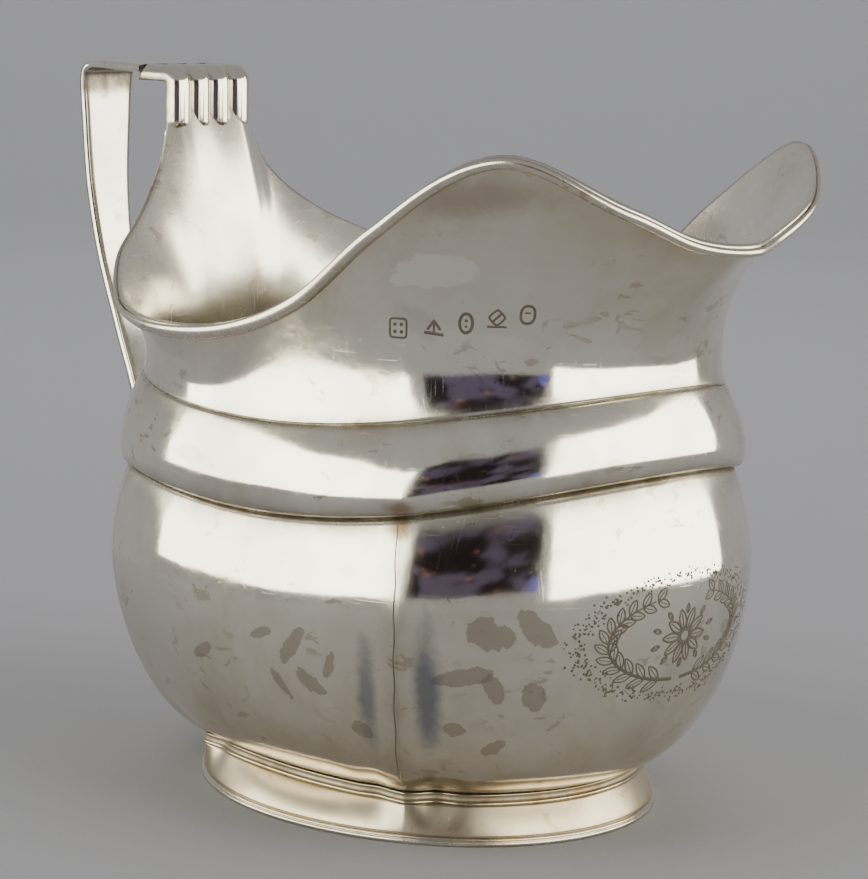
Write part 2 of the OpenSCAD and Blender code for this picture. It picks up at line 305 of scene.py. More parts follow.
lower_body = shell("jug_lower_body", body_skin, BODY_ROWS, thick_end=0.9)
band = shell("jug_shoulder_band", band_skin, BAND_ROWS)
neck = shell("jug_neck", neck_skin, NECK_ROWS, free_rim=True)
rim = loft("jug_rim_wire", wire_rows(), closed=False)
flange = ring_of("jug_foot_flange", [(flange_r(a), z) for a, z in (
    (-0.8, 5.5), (1.5, 5.5), (1.7, 5.54), (1.79, 5.64), (1.79, 5.78), (1.7, 5.88), (1.5, 5.97),
    (1.32, 6.1), (1.25, 6.3), (1.24, 6.55), (1.28, 6.7), (1.34, 6.8), (1.36, 6.88), (1.3, 6.96),
    (1.1, 7.0), (-0.8, 7.0))])
COLLAR_TOP, COLLAR_LOW = FOOT_H - FLANGE_H - GAP, FOOT_WIRE_H + GAP
collar = ring_of("jug_foot_collar", [
    (collar_r(1 - k, off), COLLAR_LOW + (COLLAR_TOP - COLLAR_LOW) * k)
    for off, levels in ((0.0, np.linspace(0, 1, 13)), (-SHEET, np.linspace(0, 1, 13)[::-1]))
    for k in levels])
foot = ring_of("jug_foot_wire", [(wire_r(a), z) for a, z in (
    (-2.6, 0), (-0.35, 0), (-0.1, 0.08), (0, 0.22), (0, 0.5), (-0.06, 0.64), (-0.2, 0.72),
    (-0.24, 0.77), (-0.2, 0.82), (-0.12, 0.9), (-0.12, 1.02), (-0.2, 1.12), (-0.4, 1.2),
    (-2.6, 1.2))])


def strap_loop(w, h):
    """Crowned strap section with a fine raised edge: (across, up) pairs."""
    pts = []
    for k in np.linspace(-1, 1, STRAP_ACROSS):
        edge = abs(k) ** 10
        pts.append((k * w / 2, h / 2 * (0.93 - 0.13 * edge) if abs(k) < 1 else h * 0.3))
    return pts + [(a, -b) for a, b in pts[::-1]]


def strap_line(u):
    """Centre of the strap at station u."""
    return np.array([through(STRAP_STATION, STRAP_X, u), 0, through(STRAP_STATION, STRAP_Z, u)])


def strap_landing():
    """Last section of the strap, laid on the back of the body and spread a little."""
    body_back, spread, end = 50, 1.3, []
    for y, h in strap_loop(STRAP_END_W, STRAP_T * spread):
        p, z, t = 180 - math.degrees(math.asin(y / body_back)), STRAP_END_Z - h, 0.9
        for _ in range(12):
            t += (z - float(body_skin(p, t)[1])) / (LOW_Z - FOOT_H)
        end.append([(float(body_skin(p, t)[0]) + SEAM) * float(cos(p)), y, z])
    return end


def strap():
    """Handle strap, swept from the level top round the corner and down to the body."""
    rows = []
    for u in STRAP_STEPS:
        d = strap_line(min(STRAP_STEPS[-1], u + 0.02)) - strap_line(max(0, u - 0.02))
        d = d / np.linalg.norm(d)
        n = np.array([0, 0, 1.0]) if u == 0 else np.array([d[2], 0, -d[0]])
        w = float(through(STRAP_STATION, STRAP_W, u))
        rows.append([strap_line(u) + [0, y, 0] + n * h for y, h in strap_loop(w, STRAP_T)])
    return loft("jug_handle_strap", np.array(rows + [strap_landing()]), closed=False)


def reeds():
    """Four half-round reeds: along the strap end, over the tongue, down to rounded tips."""
    top, front, bend = HANDLE_TOP - REED_R, REED_BACK + 0.35, 0.8
    path = [(x, top, 90.0, 1.0) for x in np.linspace(-60, front - bend, 10)]
    path += [(front - bend + bend * cos(a), top - bend + bend * sin(a), a, 1.0)
             for a in np.linspace(80, 0, 9)]
    path += [(front, z, 0.0, 1.0) for z in np.linspace(top - 2, REED_TIP, 8)]
    path += [(front, REED_TIP - REED_R * sin(a), 0.0, max(0.02, cos(a)))
             for a in np.linspace(12, 88, 9)]
    verts, faces = [], []
    for k in range(REED_COUNT):
        y0, first = (k - (REED_COUNT - 1) / 2) * REED_PITCH, len(verts)
        for x, z, a, q in path:
            for b in REED_ARC:
                n = REED_R * q * max(float(sin(b)), -0.17)
                verts.append((x + n * cos(a), y0 + REED_R * q * cos(b), z + n * sin(a)))
        m = len(REED_ARC)
        for i in range(len(path) - 1):
            for j in range(m):
                j2 = (j + 1) % m
                faces.append((first + i * m + j, first + i * m + j2,
                              first + (i + 1) * m + j2, first + (i + 1) * m + j))
        faces.append(tuple(first + j for j in range(m))[::-1])
        faces.append(tuple(first + (len(path) - 1) * m + j for j in range(m)))
    return make("jug_handle_reeds", verts, faces)


handle, reed_block = strap(), reeds()


class Relief:
    """Fine raised work laid on a skin: strokes and dots in millimetres round a centre."""

    EDGE, CREST = 0.004, 0.05

    def __init__(self, skin, angle, height):
        self.skin, self.angle, self.height = skin, angle, height
        self.radius = float(skin(angle, 0.5)[0])
        self.verts, self.faces = [], []

    def lay(self, u, v, lift):
        """Points at u across and v up, lifted off the skin; the level is found by halving."""
        p = self.angle + np.degrees(np.asarray(u, float) / self.radius)
        z, lo, hi = self.height + np.asarray(v, float), np.zeros(p.shape), np.ones(p.shape)
        for _ in range(30):
            mid = (lo + hi) / 2
            below = self.skin(p, mid)[1] < z
            lo, hi = np.where(below, mid, lo), np.where(below, hi, mid)
        return at(self.skin, p, lo) + normal(self.skin, p, lo) * np.asarray(lift)[..., None]

    def stroke(self, u, v, width, lift=CREST):
        """Ridged stroke along points; width may vary from point to point."""
        u, v = np.asarray(u, float), np.asarray(v, float)
        w = np.broadcast_to(np.asarray(width, float), u.shape) / 2
        du, dv = np.gradient(u), np.gradient(v)
        k = np.hypot(du, dv) + 1e-9
        first = len(self.verts)
        for off, h in ((-1.0, self.EDGE), (0.0, lift), (1.0, self.EDGE)):
            self.verts += list(self.lay(u - off * w * dv / k, v + off * w * du / k,
                                        np.full(u.shape, h)))
        n = len(u)
        for row in (0, 1):
            for i in range(n - 1):
                a = first + row * n + i
                self.faces.append((a, a + n, a + n + 1, a + 1)[::-1])

    def dots(self, u, v, radius):
        """Low six-sided points."""
        a = np.arange(6) * np.pi / 3
        for x, y, r in zip(u, v, radius):
            first = len(self.verts)
            self.verts += list(self.lay(x + r * np.cos(a), y + r * np.sin(a),
                                        np.full(6, self.EDGE)))
            self.verts += list(self.lay([x], [y], np.array([self.CREST])))
            self.faces += [(first + i, first + (i + 1) % 6, first + 6) for i in range(6)]

    def loop(self, a, b, power, width):
        """Closed frame: power 2 is an oval, larger is squarer."""
        q = np.radians(np.linspace(0, 360, 49))
        c, d = np.cos(q), np.sin(q)
        self.stroke(a * np.sign(c) * np.abs(c) ** (2 / power),
                    b * np.sign(d) * np.abs(d) ** (2 / power), width)


def joined(name, reliefs):
    """One flat-shaded mesh from several reliefs."""
    verts, faces = [], []
    for r in reliefs:
        faces += [tuple(i + len(verts) for i in f) for f in r.faces]
        verts += r.verts
    return make(name, verts, faces, smooth=False)


def punch_marks():
    """Five small struck marks in a row, each a plain framed motif."""
    struck, line = [], np.linspace(-1, 1, 9)
    for k, (p, z) in enumerate(((-50.2, 73.1), (-43.3, 73.5), (-37.5, 74.2), (-32.2, 75.1),
                                (-27.2, 75.6))):
        m = Relief(neck_skin, p, z)
        if k == 0:
            m.loop(1.15, 1.3, 7, 0.3)
            m.dots([-0.45, 0.45, -0.45, 0.45], [-0.5, -0.5, 0.5, 0.5], [0.28] * 4)
        elif k == 1:
            m.stroke(line * 1.3, -0.9 - 0.15 * line, 0.42)
            m.stroke(line * 0.9, 0.9 - 1.3 * np.abs(line), 0.36)
            m.stroke(0 * line, line * 0.9, 0.3)
        elif k == 2:
            m.loop(0.85, 1.3, 2, 0.42)
            m.dots([0, 0], [0.35, -0.45], [0.26, 0.2])
        elif k == 3:
            m.loop(1.05, 1.05, 1.2, 0.3)
            m.stroke(line * 0.55, line * 0.55, 0.34)
            m.stroke(line * 1.3, -1.25 + 0 * line, 0.3)
        else:
            m.loop(0.9, 1.2, 2.4, 0.36)
            m.stroke(line * 0.4, 0.25 + 0 * line, 0.24)
        struck.append(m)
    return joined("jug_punch_marks", struck)


def leaf(m, u, v, slant, length, fat, width=0.24):
    """Two curved edges and a shorter midrib, from the stalk end (u, v)."""
    q, (c, d) = np.linspace(0, 1, 13), (float(cos(slant)), float(sin(slant)))
    for bulge in (-1, 0, 1):
        off = bulge * fat * np.sin(np.pi * q) ** 0.8
        reach = length * (0.8 if bulge == 0 else 1.0) * q
        m.stroke(u + reach * c - off * d, v + reach * d + off * c, width if bulge else width * 0.6)


def spray():
    """Bright-cut laurel and rosette inside a stippled oval, centred under the lip."""
    m = Relief(body_skin, 0.0, 31.4)
    wreath_a, wreath_b, leaf_turn = 12.4, 6.2, 38
    for side in (-1, 1):
        a = np.linspace(-86, 62, 60)
        m.stroke(side * wreath_a * cos(a), wreath_b * sin(a), np.linspace(0.55, 0.2, 60))
        for k, b in enumerate(np.linspace(-74, 64, 12)):
            way = float(np.degrees(np.arctan2(wreath_b * cos(b), -wreath_a * sin(b))))
            for slant in (way + leaf_turn, way - leaf_turn):
                leaf(m, side * wreath_a * float(cos(b)), wreath_b * float(sin(b)),
                     slant if side > 0 else 180 - slant, 3.0 - 0.08 * k, 0.55)
    for a in range(0, 360, 36):
        b = a + 18
        leaf(m, 0.9 * float(cos(a)), 0.9 * float(sin(a)), a, 3.1, 0.62, 0.3)
        leaf(m, 4.6 * float(cos(b)), 3.2 * float(sin(b)), b, 1.4, 0.3)
    m.loop(0.8, 0.8, 2, 0.24)
    count, rng = 560, np.random.default_rng(7)
    a = rng.uniform(0, 2 * np.pi, count)
    spread = 1 + rng.normal(0, 0.06, count)
    m.dots(16.6 * spread * np.cos(a), 8.6 * spread * np.sin(a), rng.uniform(0.13, 0.22, count))
    return joined("jug_cut_spray", [m])


def ridge_lines():
    """Fine dark line beside each corner ridge of the lower body: painted shade along the ridge."""
    lines, v = [], np.linspace(-17, 20, 90)
    for side in (-1, 1):
        m = Relief(body_skin, side * CORNER_ANGLE, 27.0)
        m.stroke(side * (0.42 + 0.08 * np.sin(v * 0.9)), v,
                 0.10 + 0.13 * np.cos(v / 26) ** 4, 0.02)
        lines.append(m)
    return joined("jug_ridge_lines", lines)


marks, ornament, ridges = punch_marks(), spray(), ridge_lines()

# ---------------------------------------------------------------- pieces and their CAD nodes
pieces = [(lower_body, "lower_body", "body_silver"), (band, "shoulder_band", "band_silver"),
          (neck, "neck", "neck_silver"), (rim, "rim_wire", "wire_silver"),
          (flange, "foot_flange", "foot_silver"), (collar, "foot_collar", "foot_silver"),
          (foot, "foot_wire", "wire_silver"), (handle, "handle_strap", "handle_silver"),
          (reed_block, "handle_reeds", "handle_silver")]
for obj, node, slot in pieces:
    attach(obj, "root")
    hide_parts(node)
for obj, slot in ((marks, "neck_silver"), (ornament, "body_silver"), (ridges, "body_silver")):
    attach(obj, "root")

# ---------------------------------------------------------------- materials
CLEAN, WARM = (0.87, 0.835, 0.72), (0.60, 0.51, 0.35)
# BROWN: the dark brown of the red channel, for dirt and painted shade.
BROWN, PLUM = (0.08, 0.055, 0.032), (0.52, 0.45, 0.40)
FLECK, RUST, TAN = (0.40, 0.31, 0.18), (0.35, 0.22, 0.11), (0.40, 0.31, 0.24)
SMEAR, STAIN, PALE = (0.37, 0.30, 0.22), (0.30, 0.17, 0.07), (0.93, 0.90, 0.80)
# The blue-grey tone paints reflection in the corner flutes.
REFLECTION_BLUE, BLACK = (0.20, 0.215, 0.25), (0.0, 0.0, 0.0)


def wear_and_shade_layer(obj, rgb):
    """Per-vertex attribute from where each vertex lies: R dirt and painted shade, G warm tarnish
    (on the lower body also painted shade toward the foot), B dull.
    """
    layer = obj.data.color_attributes.new("wear_and_shade", "FLOAT_COLOR", "POINT")
    buf = np.ones((len(obj.data.vertices), 4), np.float32)
    buf[:, :3] = np.clip(np.asarray(rgb, np.float32).reshape(-1, 3), 0, 1)
    layer.data.foreach_set("color", buf.ravel())


class Graph:
    """Small helper round a material's node tree."""

    def __init__(self, mat):
        self.nt = mat.node_tree

    def node(self, kind, **settings):
        n = self.nt.nodes.new(kind)
        for k, v in settings.items():
            setattr(n, k, v)
        return n

    def link(self, a, b):
        self.nt.links.new(a, b)

    def value(self, socket, v):
        """Links v when it is a socket, else sets it as the constant."""
        if hasattr(v, "links"):
            self.link(v, socket)
        else:
            socket.default_value = v

    def noise(self, vec, scale, detail=4.0, rough=0.55, distort=0.0):
        n = self.node("ShaderNodeTexNoise")
        self.link(vec, n.inputs["Vector"])
        for k, v in (("Scale", scale), ("Detail", detail), ("Roughness", rough),
                     ("Distortion", distort)):
            n.inputs[k].default_value = v
        return n.outputs["Fac"]

    def ramp(self, fac, lo, hi, a=0.0, b=1.0):
        """Smooth step from a to b as fac goes from lo to hi."""
        n = self.node("ShaderNodeMapRange", interpolation_type="SMOOTHSTEP")
        self.value(n.inputs["Value"], fac)
        for k, v in (("From Min", lo), ("From Max", hi), ("To Min", a), ("To Max", b)):
            n.inputs[k].default_value = v
        return n.outputs["Result"]

    def math(self, op, a, b, clamp=False):
        n = self.node("ShaderNodeMath", operation=op, use_clamp=clamp)
        self.value(n.inputs[0], a)
        self.value(n.inputs[1], b)
        return n.outputs[0]

    def mix(self, fac, a, b):
        n = self.node("ShaderNodeMix", data_type="RGBA")
        self.value(n.inputs["Factor"], fac)
        self.value(n.inputs["A"], a if hasattr(a, "links") else (*a, 1))
        self.value(n.inputs["B"], b if hasattr(b, "links") else (*b, 1))
        return n.outputs["Result"]

    def stretch(self, vec, scale, turn=(0, 0, 0)):
        n = self.node("ShaderNodeMapping")
        self.link(vec, n.inputs["Vector"])
        n.inputs["Scale"].default_value = scale
        n.inputs["Rotation"].default_value = turn
        return n.outputs["Vector"]

    def blot(self, pos, patch, ragged):
        """Distance from a patch's centre, 1 at its ragged edge.

        A patch is (skin, plan angle, level, half length, half width, slant). Short patches are
        shallow, so that they do not show on the inner skin.
        """
        skin, p, t, a, b, slant = patch
        c = at(skin, p, t) * MM + np.array([FOOT_X * MM, 0, 0])
        n = normal(skin, np.array(float(p)), np.array(float(t)))
        side = unit(np.cross([0, 0, 1], n))
        up = np.cross(n, side)
        x = side * cos(slant) + up * sin(slant)
        turn = Matrix(np.stack([x, np.cross(n, x), n], 1).tolist()).to_euler()
        m = self.node("ShaderNodeMapping", vector_type="TEXTURE")
        self.link(pos, m.inputs["Vector"])
        m.inputs["Location"].default_value = c.tolist()
        m.inputs["Rotation"].default_value = turn
        depth = 0.5 if a < 5 else 4
        m.inputs["Scale"].default_value = (a * MM, b * MM, depth * MM)
        far = self.node("ShaderNodeVectorMath", operation="LENGTH")
        self.link(m.outputs[0], far.inputs[0])
        grain = self.noise(pos, 240.0, 4.0, 0.6, 0.8)
        edge = self.math("MULTIPLY", self.math("SUBTRACT", grain, 0.5), 2.4 * ragged)
        return self.math("ADD", far.outputs["Value"], edge)


# Fine scratch families: (turn, stretch) of the noise that draws them
SCRATCHES = (((0.3, 0.9, 0.5), (5200, 190, 190)), ((1.2, 0.2, 2.0), (190, 5600, 190)),
             ((2.1, 1.4, 0.8), (170, 170, 4300)))


def silver(name, clean=CLEAN, rough=0.07, tarnish=1.0, wobble=1.0, brown=0.0, blots=(),
           metal=1.0):
    """Old polished silver: clean metal under tarnish films, dirt and painted shade from the red
    attribute channel, haze and scratches.
    """
    m = bpy.data.materials.new(name)
    m.use_nodes = True
    g = Graph(m)
    bsdf = m.node_tree.nodes["Principled BSDF"]
    bsdf.inputs["Metallic"].default_value = metal
    bsdf.inputs["Specular IOR Level"].default_value = 0.5 if metal else 0.15
    pos = g.node("ShaderNodeTexCoord").outputs["Object"]
    wear_and_shade = g.node("ShaderNodeSeparateColor")
    att = g.node("ShaderNodeAttribute", attribute_name="wear_and_shade", attribute_type="GEOMETRY")
    g.link(att.outputs["Color"], wear_and_shade.inputs["Color"])
    crease, warm, dull = wear_and_shade.outputs
    cloud = g.noise(pos, 38.0, 5.0, 0.6, 0.6)
    mottle = g.noise(pos, 210.0, 6.0, 0.65)
    speck = g.noise(pos, 1500.0, 3.0, 0.6)
    # Tarnish film from noise and the warm channel; on the lower body it also carries painted shade
    # toward the foot.
    tarnish_and_shade = g.math("ADD", g.ramp(cloud, 0.42, 0.72, 0.0, 0.55 * tarnish),
                  g.math("MULTIPLY", warm, 0.9), clamp=True)
    tarnish_and_shade = g.math("MULTIPLY", tarnish_and_shade, g.ramp(mottle, 0.2, 0.75, 0.55, 1.0))
    col = g.mix(tarnish_and_shade, clean, WARM)
    veil = g.noise(g.stretch(pos, (1, 1, 0.6), (0.4, 0.2, 0)), 55.0, 3.0)
    col = g.mix(g.ramp(veil, 0.55, 0.72, 0.0, 0.5 * tarnish), col, PLUM)
    fleck = g.noise(g.stretch(pos, (240, 240, 420), (0.5, 0.3, 0.9)), 1.0, 3.0, 0.6, 0.7)
    field = g.noise(pos, 75.0, 2.0)
    fleck = g.math("MULTIPLY", g.ramp(fleck, 0.60, 0.64), g.ramp(field, 0.44, 0.6))
    col = g.mix(g.math("MULTIPLY", fleck, 0.6 * tarnish), col, FLECK)
    for patch, tone, strength, soft in blots:
        far = g.blot(pos, patch, 0.75 if soft < 0.5 else 0.35)
        col = g.mix(g.ramp(far, 1.0, 1.0 - soft, 0.0, strength), col, tone)
    # Red channel: dirt and painted shade in creases, along the corner ridges, under the strap bend
    # and in the flange cove, mixed toward dark brown.
    dirt_and_shade = g.math("MULTIPLY", crease, g.ramp(mottle, 0.25, 0.7, 0.45, 1.0))
    col = g.mix(g.math("MULTIPLY", dirt_and_shade, 0.85, clamp=True), col, BROWN)
    if brown:
        col = g.mix(g.ramp(g.noise(pos, 70.0, 4.0), 0.6, 0.75, 0.0, brown), col, RUST)
    g.link(col, bsdf.inputs["Base Color"])
    haze = g.ramp(g.noise(pos, 60.0, 6.0, 0.7, 0.4), 0.45, 0.8, 0.0, 0.09)
    r = g.math("ADD", g.math("ADD", haze, g.math("MULTIPLY", tarnish_and_shade, 0.05)), rough)
    r = g.math("ADD", r, g.math("MULTIPLY", dirt_and_shade, 0.35))
    r = g.math("ADD", r, g.math("MULTIPLY", dull, 0.22))
    r = g.math("ADD", r, g.ramp(speck, 0.66, 0.74, 0.0, 0.12))
    drawn = [g.ramp(g.noise(g.stretch(pos, stretch, turn), 1.0, 1.0, 0.5), 0.70, 0.76)
             for turn, stretch in SCRATCHES]
    lines = g.math("MAXIMUM", g.math("MAXIMUM", drawn[0], drawn[1]), drawn[2])
    r = g.math("ADD", r, g.math("MULTIPLY", lines, 0.05), clamp=True)
    g.link(r, bsdf.inputs["Roughness"])
    low_bump = g.node("ShaderNodeBump")
    low_bump.inputs["Strength"].default_value = 1.0
    low_bump.inputs["Distance"].default_value = 0.0004 * wobble
    g.link(g.noise(pos, 52.0, 3.0, 0.34), low_bump.inputs["Height"])
    fine = g.math("ADD", g.math("MULTIPLY", speck, 0.4), g.math("MULTIPLY", lines, -0.12))
    bump = g.node("ShaderNodeBump")
    bump.inputs["Strength"].default_value = 0.35
    bump.inputs["Distance"].default_value = 0.00002
    g.link(fine, bump.inputs["Height"])
    g.link(low_bump.outputs["Normal"], bump.inputs["Normal"])
    g.link(bump.outputs["Normal"], bsdf.inputs["Normal"])
    return m


def shell_wear_and_shade(rows, skin_warm, ridge=0.0, low_end=1.0, high_end=1.0, reach=0.05):
    """Wear and painted shade for a shell: painted shade at both ends of the outer skin and down
    the corner ridges, dull warm metal inside.
    """
    p, t = grid(rows)
    # Painted shade in the creases where the shells meet, and a painted dark line down each corner
    # ridge; the inner skin takes a little of it.
    dirt_and_shade = (low_end * np.exp(-(t / reach) ** 1.5) + high_end * np.exp(-((1 - t) / reach) ** 1.5)
            + ridge * np.exp(-((np.abs(90 - fold(p)) - 90 + CORNER_ANGLE) / 0.6) ** 2))
    outer = np.stack([dirt_and_shade + 0 * t, skin_warm(p, t), 0 * p + 0 * t], -1)
    inner = np.stack([0.15 * dirt_and_shade, 0.15 + 0 * dirt_and_shade, 0.7 + 0 * dirt_and_shade], -1)[:, ::-1]
    return np.concatenate([outer, inner], 1)


# The lower body's warm channel rises toward the foot: warm tarnish and also painted shade, darker
# near the base.
wear_and_shade_layer(lower_body, shell_wear_and_shade(BODY_ROWS, lambda p, t: 0.75 * (1 - t) ** 1.3 + 0 * p,
                                  ridge=0.55, low_end=0.7, high_end=0.9, reach=0.035))
wear_and_shade_layer(band, shell_wear_and_shade(BAND_ROWS, lambda p, t: 0.12 + 0 * p * t,
                            low_end=0.95, high_end=0.75, reach=0.09))
wear_and_shade_layer(neck, shell_wear_and_shade(NECK_ROWS, lambda p, t: 0.25 + 0.6 * t**2 + 0 * p,
                            low_end=0.7, high_end=0.5, reach=0.035))
station = STRAP_STEPS[:, None]
under = np.repeat([0.0, 1.0], STRAP_ACROSS)[None, :]
# Painted shade on the inner face of the strap under its top bend, with a fainter darker band lower
# down.
strap_bend_shade = under * np.exp(-((station - 3.7) / 0.75) ** 4) * 1.1 + 0.25 * np.exp(-(station - 5.6) ** 2)
strap_bend_shade = np.concatenate([strap_bend_shade, strap_bend_shade[-1:]])
wear_and_shade_layer(handle, np.stack([strap_bend_shade, 0.3 + 0 * strap_bend_shade, 0.2 * strap_bend_shade], -1))
# Painted shade in the flange's cove above its bead and along its joint with the body.
flange_cove_shade = np.tile(np.array([0.1] * 6 + [0.85] * 5 + [0.15] * 2 + [0.3, 0.9, 0.9]), AROUND)
wear_and_shade_layer(flange, np.stack([flange_cove_shade, 0.35 + 0 * flange_cove_shade, 0.4 * flange_cove_shade], -1))
# Darker in the valleys between the reeds.
valley = np.tile(np.exp(-np.maximum(sin(REED_ARC), 0) / 0.25),
                 len(reed_block.data.vertices) // len(REED_ARC))
wear_and_shade_layer(reed_block, np.stack([valley, 0.3 + 0 * valley, 0.2 * valley], -1))
for obj, level in ((rim, 0.45), (collar, 0.55), (foot, 0.4)):
    wear_and_shade_layer(obj, np.tile([level * 0.4, level, 0.1], (len(obj.data.vertices), 1)))

# Patches: (skin, plan angle, level, half length, half width, slant), tone, strength, softness
body_blots = [((body_skin, p, t, a, b, slant), SMEAR, 0.62, 0.06) for p, t, a, b, slant in (
    (-33.5, 0.70, 3.6, 2.2, -20), (-26.0, 0.70, 3.6, 1.6, -48), (-37.5, 0.57, 3.8, 1.3, 8),
    (-32.0, 0.52, 2.4, 1.2, -65), (-25.5, 0.50, 1.6, 2.3, 20), (-38.0, 0.38, 1.5, 1.1, 0),
    (-31.0, 0.30, 1.9, 1.2, 40), (-70.0, 0.64, 3.8, 1.1, 52), (-66.5, 0.52, 3.4, 1.2, -35),
    (-74.0, 0.50, 2.6, 0.9, -60), (-62.0, 0.58, 2.2, 1.0, 75), (-78.0, 0.66, 2.4, 0.8, 20),
    (-56.0, 0.35, 1.6, 1.4, 0), (-96.0, 0.55, 2.6, 1.1, 30), (30.0, 0.5, 3.2, 1.3, 40),
    (75.0, 0.55, 3.4, 1.2, -40), (110.0, 0.45, 3.0, 1.2, 30), (140.0, 0.6, 2.8, 1.0, 0),
    (-150.0, 0.5, 2.8, 1.2, 40))]
# Blue-grey patches down the flutes beside the corners: painted reflection.
body_blots += [((body_skin, -43.4, 0.52, 15.0, 2.7, 90), REFLECTION_BLUE, 0.85, 0.8),
               ((body_skin, -54.5, 0.50, 12.0, 2.2, 86), REFLECTION_BLUE, 0.7, 0.8),
               ((body_skin, 43.4, 0.50, 14.0, 2.4, 90), REFLECTION_BLUE, 0.6, 0.8),
               ((body_skin, -CORNER_ANGLE, 0.97, 2.6, 2.6, 0), STAIN, 0.75, 0.8),
               ((body_skin, CORNER_ANGLE, 0.97, 2.2, 2.2, 0), STAIN, 0.6, 0.8)]
neck_blots = [((neck_skin, -38.0, 0.86, 15.0, 4.2, 4), TAN, 0.6, 0.8),
              ((neck_skin, 55.0, 0.85, 14.0, 4.0, 0), TAN, 0.5, 0.8),
              ((neck_skin, -44.0, 0.62, 6.6, 2.3, 8), PALE, 0.75, 0.10),
              ((neck_skin, -47.0, 0.45, 2.4, 5.0, 60), PLUM, 0.35, 0.5),
              ((neck_skin, 40.0, 0.6, 4.6, 1.9, -12), PALE, 0.4, 0.2)]
band_blots = [((band_skin, -CORNER_ANGLE, 0.12, 3.4, 1.6, 0), STAIN, 0.7, 0.8),
              ((band_skin, -38.0, 0.45, 6.0, 2.4, 12), PLUM, 0.55, 0.4),
              ((band_skin, -100.0, 0.5, 5.0, 1.2, 0), SMEAR, 0.3, 0.2)]
looks = {
    "body_silver": silver("silver_body", tarnish=0.8, blots=body_blots),
    "band_silver": silver("silver_band", rough=0.08, blots=band_blots),
    "neck_silver": silver("silver_neck", clean=(0.89, 0.86, 0.77), tarnish=0.8, blots=neck_blots),
    "wire_silver": silver("silver_wire", clean=(0.80, 0.76, 0.69), rough=0.14, wobble=0.2),
    "foot_silver": silver("silver_foot", clean=(0.50, 0.46, 0.35), rough=0.2, brown=0.7,
                          wobble=0.6),
    "handle_silver": silver("silver_handle", clean=(0.83, 0.81, 0.76), rough=0.1, wobble=0.5),
    "underside_silver": silver("silver_underside", clean=(0.72, 0.71, 0.69), rough=0.3),
}
for obj, _, slot in pieces:
    obj.data.materials.append(looks[slot])
cut_and_shade_metal = silver("silver_cut_and_shade", clean=(0.045, 0.04, 0.032), rough=0.5, tarnish=0.1, wobble=0.1,
                   metal=0.0)
# The dark cut material draws the engraved marks and spray, and the painted shade lines beside the
# corner ridges.
for obj in (marks, ornament, ridges):
    wear_and_shade_layer(obj, np.tile([0.25, 0.4, 0.2], (len(obj.data.vertices), 1)))
    obj.data.materials.append(cut_and_shade_metal)
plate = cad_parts["base_plate"]
plate.data.materials.clear()
plate.data.materials.append(looks["underside_silver"])

# ---------------------------------------------------------------- camera
AZ, EL, ROLL = 46.6, 9.4, 1.07
LENS, DIST, TARGET_Z = 122.9, 442.0, 50.0
SIDE, RISE = 0.4, 1.6
back = np.array([sin(AZ) * cos(EL), -cos(AZ) * cos(EL), sin(EL)])
level_right = np.array([cos(AZ), sin(AZ), 0.0])
level_up = np.cross(back, level_right)
right = cos(ROLL) * level_right + sin(ROLL) * level_up
up = -sin(ROLL) * level_right + cos(ROLL) * level_up
place = np.array([FOOT_X, 0, TARGET_Z]) + back * DIST + right * SIDE + up * RISE
cam_data = bpy.data.cameras.new("camera")
cam_data.lens = LENS
cam_data.clip_start = 0.01
cam = bpy.data.objects.new("camera", cam_data)
bpy.context.scene.collection.objects.link(cam)
facing = Matrix(np.stack([right, up, back], 1).tolist()).to_4x4()
cam.matrix_world = Matrix.Translation(Vector((place * MM).tolist())) @ facing
bpy.context.scene.camera = cam

# ---------------------------------------------------------------- stage and light
SOFTBOX, SOFTBOX_TONE, BOX_R = 6.5, (1.0, 0.965, 0.82), 0.62
TABLE_R, COVE_R, COVE_BEND, COVE_H = 0.205, 1.5, 0.6, 2.2
PAPER_LOW, PAPER_HIGH, WORLD_TONE = (0.31, 0.31, 0.32), (0.74, 0.74, 0.745), (0.40, 0.40, 0.41)


def emission(name, color, strength):
    m = bpy.data.materials.new(name)
    m.use_nodes = True
    nt = m.node_tree
    nt.nodes.clear()
    e = nt.nodes.new("ShaderNodeEmission")
    e.inputs["Color"].default_value = (*color, 1)
    e.inputs["Strength"].default_value = strength
    o = nt.nodes.new("ShaderNodeOutputMaterial")
    nt.links.new(e.outputs[0], o.inputs["Surface"])
    return m


def stage_mesh(name, verts, faces, material):
    mesh = bpy.data.meshes.new(name)
    mesh.from_pydata([tuple(v) for v in verts], [], faces)
    mesh.polygons.foreach_set("use_smooth", [True] * len(mesh.polygons))
    o = bpy.data.objects.new(name, mesh)
    o.data.materials.append(material)
    bpy.context.scene.collection.objects.link(o)
    return o


def arc_box(name, a0, a1, z0, z1, radius, strength, color):
    """Curved light box round the jug, seen only in reflections.

    Angles count from the camera axis, + to its right.
    """
    pts, faces, steps = [], [], 32
    for k in range(steps + 1):
        a = math.radians(AZ + a0 + (a1 - a0) * k / steps)
        x, y = math.sin(a) * radius + FOOT_X * MM, -math.cos(a) * radius
        pts += [(x, y, z0), (x, y, z1)]
        if k:
            faces.append((2 * k - 2, 2 * k, 2 * k + 1, 2 * k - 1))
    o = stage_mesh(name, pts, faces, emission(name + "_glow", color, strength))
    o.visible_camera = o.visible_diffuse = o.visible_shadow = False
    return o


